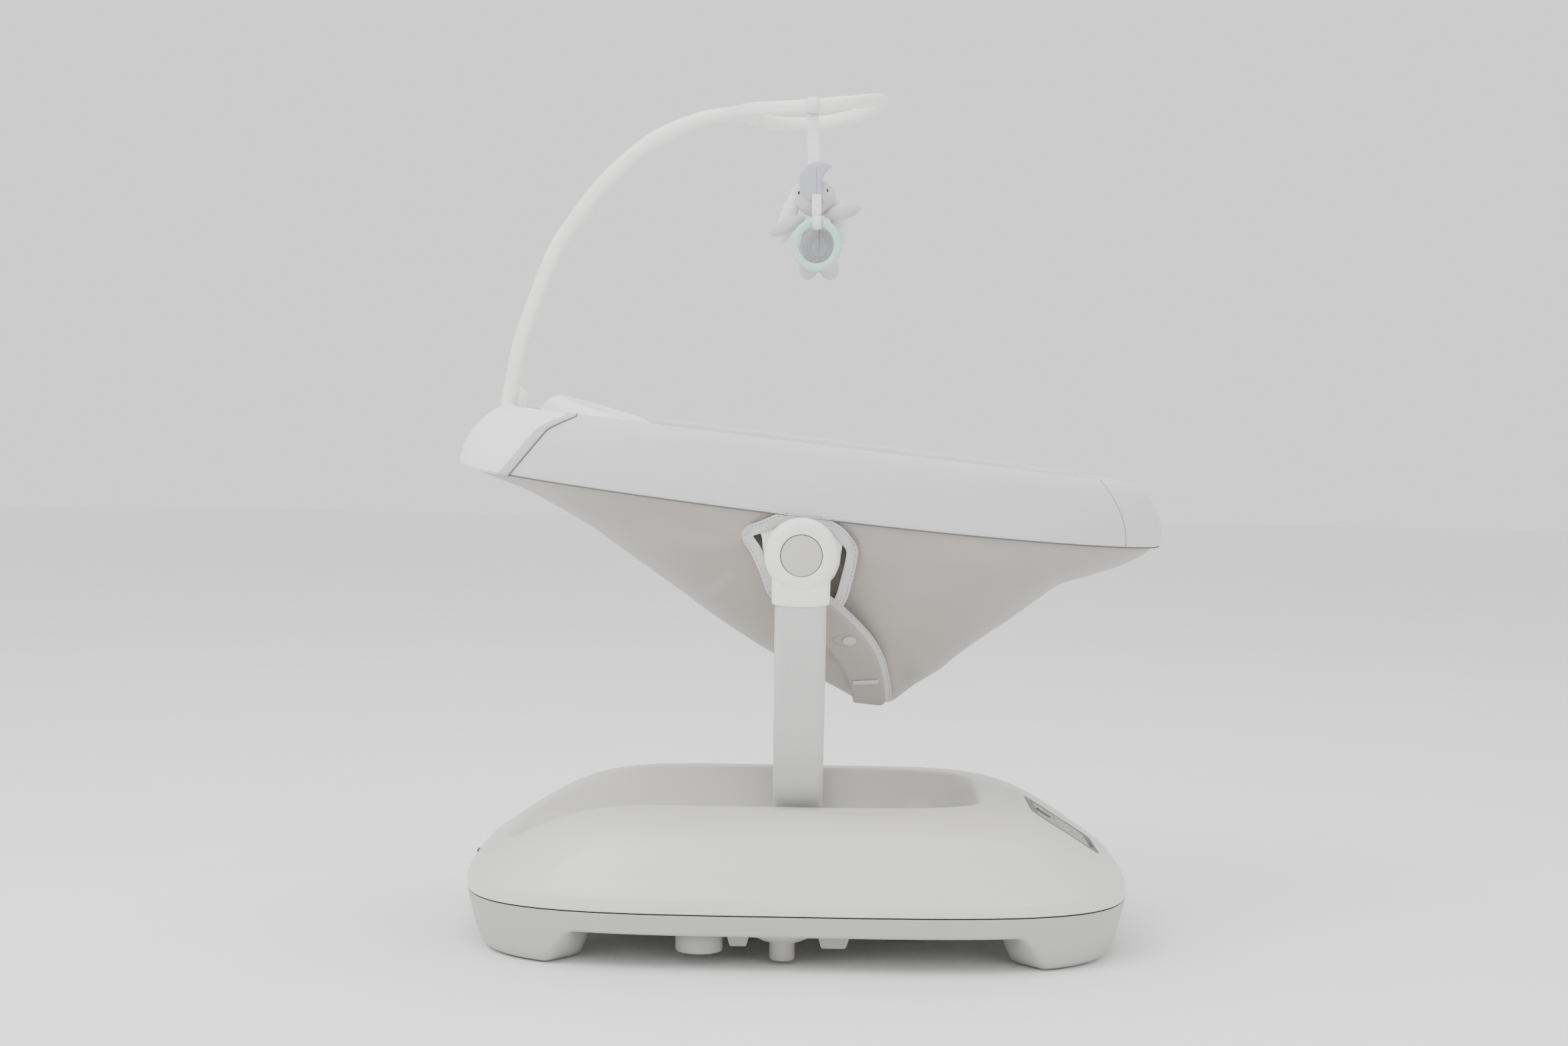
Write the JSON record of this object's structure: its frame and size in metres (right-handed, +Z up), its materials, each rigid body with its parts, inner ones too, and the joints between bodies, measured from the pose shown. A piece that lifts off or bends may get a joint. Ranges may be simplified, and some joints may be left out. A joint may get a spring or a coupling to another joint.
{
  "type": "baby swing",
  "caption": "Gliding baby swing: moulded base with a trough, yoke arms, tilting fabric seat on side hubs and a lift-off toy bar with a hanging plush.",
  "frame": {"origin": "on the floor under the middle of the base", "axes": "+X towards the foot end of the seat, +Z up, the near arm at -Y"},
  "size_m": [0.7196, 0.502, 0.8725],
  "materials": {
    "upper_white": "satin moulded plastic",
    "lower_grey": "fine matt moulded plastic",
    "arm_grey": "satin paint over aluminium",
    "hub_white": "satin moulded plastic",
    "button_grey": "satin moulded plastic",
    "bar_ivory": "satin moulded plastic",
    "dark_panel": "matt moulded plastic",
    "pad_grey": "soft-touch pad",
    "rubber_grey": "matt rubber",
    "steel": "bright drawn steel",
    "aluminium_tube": "plain drawn tube",
    "bronze": "sintered bush",
    "gear_plastic": "natural acetal",
    "black_plastic": "moulded plastic",
    "board_green": "lacquered board",
    "rim_fabric": "padded knit",
    "cover_fabric": "padded knit",
    "bag_fabric": "plain woven polyester",
    "liner_fabric": "soft plush",
    "webbing": "woven webbing",
    "strap_white": "woven tape",
    "felt_lilac": "felt",
    "plush_fur": "short plush",
    "mint": "soft silicone"
  },
  "bodies": {
    "base": {"lower_shell": "lower_grey", "upper_shell": "upper_white", "foot_pads": "rubber_grey", "housing_screws": "steel", "dc_inlet": "black_plastic", "speaker_cup": "lower_grey", "speaker": "black_plastic", "glide_rails": "steel", "rail_brackets": "lower_grey", "gear_motor": "steel", "motor_bracket": "lower_grey", "panel_bezel": "dark_panel", "panel_pad": "pad_grey", "circuit_board": "board_green"},
    "carriage": {"carriage_block": "gear_plastic", "carriage_bushes": "bronze", "drive_rack": "gear_plastic", "slot_cover": "upper_white", "yoke_crossbar": "arm_grey", "yoke_arm_left": "arm_grey", "yoke_arm_right": "arm_grey", "hub_housing_left": "hub_white", "hub_housing_right": "hub_white", "hub_bushes": "bronze", "hub_springs": "steel"},
    "pinion": {"drive_pinion": "gear_plastic"},
    "hub_button_near": {"hub_button_left": "button_grey"},
    "hub_button_far": {"hub_button_right": "button_grey"},
    "seat": {"hub_axles": "steel", "recline_discs": "steel", "seat_brackets": "steel", "seat_frame_tube": "aluminium_tube", "rim_band": "rim_fabric", "head_cover": "cover_fabric", "seat_bag": "bag_fabric", "seat_pad": "liner_fabric", "head_pillow": "cover_fabric", "shoulder_straps": "webbing", "waist_straps": "webbing", "crotch_strap": "webbing", "buckle_body": "button_grey", "bag_snaps": "button_grey", "toy_bar_socket": "hub_white"},
    "buckle_release": {"buckle_button": "dark_panel"},
    "toy_bar": {"toy_bar_arm": "bar_ivory", "toy_ring": "bar_ivory"},
    "bar_latch": {"toy_bar_latch": "bar_ivory"},
    "plush": {"toy_strap": "strap_white", "moon_charm": "felt_lilac", "plush_head": "plush_fur", "plush_torso": "plush_fur", "plush_ears": "plush_fur", "plush_limbs": "plush_fur", "teether_tape": "strap_white"},
    "teether": {"teether_ring": "mint"},
    "power_button_body": {"power_button": "dark_panel"},
    "motion_button_body": {"motion_button": "button_grey"},
    "timer_button_body": {"timer_button": "button_grey"},
    "sound_button_body": {"sound_button": "button_grey"},
    "volume_button_body": {"volume_button": "button_grey"}
  },
  "joints": [
    {"name": "glide_slide", "type": "slide", "parent": "base", "child": "carriage", "axis": [1, 0, 0], "range_m": [-0.04, 0.04]},
    {"name": "pinion_spin", "type": "hinge", "parent": "base", "child": "pinion", "pos_m": [0, 0.1284, 0.06], "axis": [0, 0, 1], "range_deg": [-172, 172]},
    {"name": "seat_recline", "type": "hinge", "parent": "carriage", "child": "seat", "pos_m": [0, 0, 0.406], "axis": [0, 1, 0], "range_deg": [0, 24]},
    {"name": "hub_press_near", "type": "slide", "parent": "carriage", "child": "hub_button_near", "axis": [0, 1, 0], "range_m": [0, 0.003], "stiffness_N_per_m": 900},
    {"name": "hub_press_far", "type": "slide", "parent": "carriage", "child": "hub_button_far", "axis": [0, -1, 0], "range_m": [0, 0.003], "stiffness_N_per_m": 900},
    {"name": "buckle_press", "type": "slide", "parent": "seat", "child": "buckle_release", "axis": [-0.5432, 0, -0.8396], "range_m": [0, 0.0025], "stiffness_N_per_m": 600},
    {"name": "toy_bar_lift", "type": "slide", "parent": "seat", "child": "toy_bar", "axis": [0.1685, 0, 0.9857], "range_m": [0, 0.06]},
    {"name": "latch_press", "type": "slide", "parent": "toy_bar", "child": "bar_latch", "axis": [-1, 0, 0], "range_m": [0, 0.002], "stiffness_N_per_m": 500},
    {"name": "plush_swing", "type": "hinge", "parent": "toy_bar", "child": "plush", "pos_m": [0.0045, -0.0885, 0.852], "axis": [1, 0, 0], "range_deg": [-30, 30]},
    {"name": "teether_swing", "type": "hinge", "parent": "plush", "child": "teether", "pos_m": [0.01, -0.1113, 0.7325], "axis": [1, 0, 0], "range_deg": [-40, 3]},
    {"name": "power_press", "type": "slide", "parent": "base", "child": "power_button_body", "axis": [-0.5299, 0, -0.848], "range_m": [0, 0.0012], "stiffness_N_per_m": 400},
    {"name": "motion_press", "type": "slide", "parent": "base", "child": "motion_button_body", "axis": [-0.5299, 0, -0.848], "range_m": [0, 0.0012], "stiffness_N_per_m": 400},
    {"name": "timer_press", "type": "slide", "parent": "base", "child": "timer_button_body", "axis": [-0.5299, 0, -0.848], "range_m": [0, 0.0012], "stiffness_N_per_m": 400},
    {"name": "sound_press", "type": "slide", "parent": "base", "child": "sound_button_body", "axis": [-0.5299, 0, -0.848], "range_m": [0, 0.0012], "stiffness_N_per_m": 400},
    {"name": "volume_press", "type": "slide", "parent": "base", "child": "volume_button_body", "axis": [-0.5299, 0, -0.848], "range_m": [0, 0.0012], "stiffness_N_per_m": 400}
  ],
  "couplings": [
    {"joint": "pinion_spin", "follows": "glide_slide", "rad_per_m": 74.074}
  ]
}
